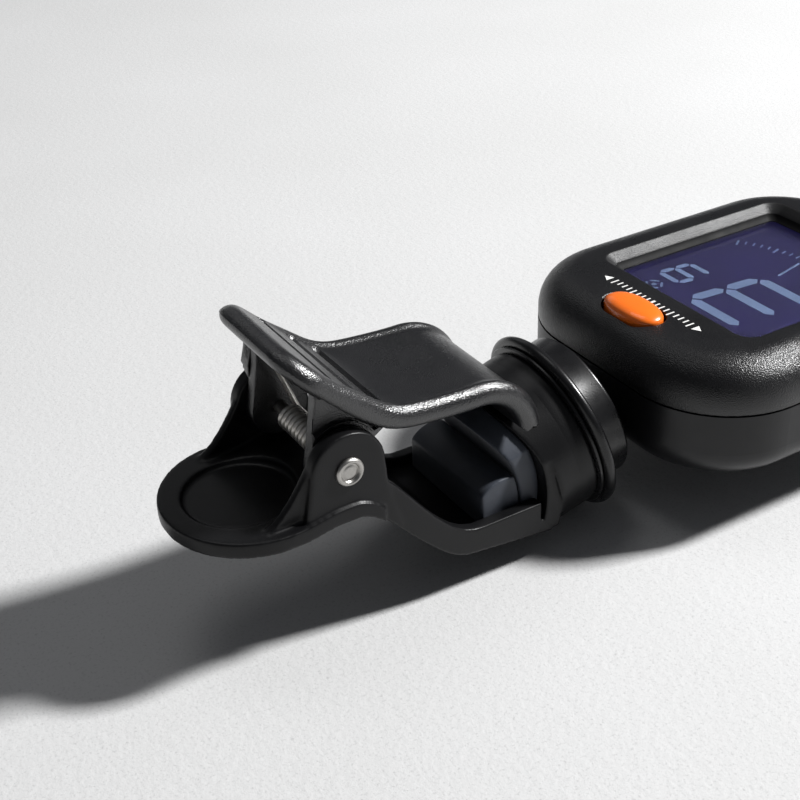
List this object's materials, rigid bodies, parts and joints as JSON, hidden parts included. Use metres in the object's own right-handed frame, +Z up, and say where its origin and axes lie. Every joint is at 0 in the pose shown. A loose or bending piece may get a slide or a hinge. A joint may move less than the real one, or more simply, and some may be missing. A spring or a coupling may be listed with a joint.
{
  "type": "clip-on instrument tuner",
  "caption": "Clip-on tuner for a stringed instrument: sprung jaw clip with soft pads, swivelling and tilting neck, and a display head with an oval button and sliding battery door.",
  "frame": {"origin": "bottom centre of the whole tuner's bounding box, on the surface that the clip's flange touches", "axes": "+X from the clip's paddle to the head's far end, +Z up through the display, Y across the jaw"},
  "size_m": [0.0692, 0.026, 0.0236],
  "materials": {
    "black_plastic": "fine grained",
    "case_plastic": "satin",
    "orange_plastic": "glossy",
    "white_plastic": "matte",
    "pad_rubber": "matte",
    "contact_rubber": "matte",
    "bright_steel": "polished",
    "screw_steel": "black oxide",
    "spring_steel": "drawn",
    "contact_brass": "plated",
    "clear_lens": "clear",
    "display_glass": "glossy",
    "board_laminate": "solder mask",
    "chip_plastic": "matte"
  },
  "bodies": {
    "clip_base": {"lower_lever": "black_plastic", "pivot_pin": "bright_steel", "torsion_spring": "spring_steel", "lower_pad": "pad_rubber", "wall_pad": "pad_rubber", "swivel_washer": "spring_steel"},
    "thumb_lever": {"upper_lever": "black_plastic", "upper_pad": "pad_rubber"},
    "neck": {"neck": "black_plastic", "swivel_screw": "bright_steel", "tilt_pin": "bright_steel"},
    "head": {"tilt_knuckle": "black_plastic", "rear_cover": "case_plastic", "front_cover": "case_plastic", "display_lens": "clear_lens", "lcd_panel": "display_glass", "lcd_holder": "white_plastic", "contact_strip": "contact_rubber", "circuit_board": "board_laminate", "tuner_chip": "chip_plastic", "tact_switch": "bright_steel", "pickup_disc": "contact_brass", "pickup_pad": "contact_rubber", "coin_cell": "bright_steel", "cell_contact_plus": "contact_brass", "cell_contact_minus": "contact_brass", "cover_screws": "screw_steel"},
    "button": {"power_button": "orange_plastic"},
    "door": {"battery_door": "case_plastic"}
  },
  "joints": [
    {"name": "clip_hinge", "type": "hinge", "parent": "clip_base", "child": "thumb_lever", "pos_m": [-0.0236, 0, 0.0144], "axis": [0, -1, 0], "range_deg": [0, 40], "stiffness_Nm_per_rad": 0.05, "springref_deg": -45.84, "deforming": ["torsion_spring"]},
    {"name": "swivel", "type": "hinge", "parent": "clip_base", "child": "neck", "pos_m": [-0.00303, 0, 0.00726], "axis": [0.965, 0, 0.2622], "continuous": true},
    {"name": "tilt", "type": "hinge", "parent": "neck", "child": "head", "pos_m": [-0.00081, 0, 0.00786], "axis": [0, 1, 0], "range_deg": [-25, 20]},
    {"name": "button_press", "type": "slide", "parent": "head", "child": "button", "axis": [0, 0, -1], "range_m": [0, 0.0005], "stiffness_N_per_m": 300},
    {"name": "door_slide", "type": "slide", "parent": "head", "child": "door", "axis": [1, 0, 0], "range_m": [0, 0.012]}
  ]
}
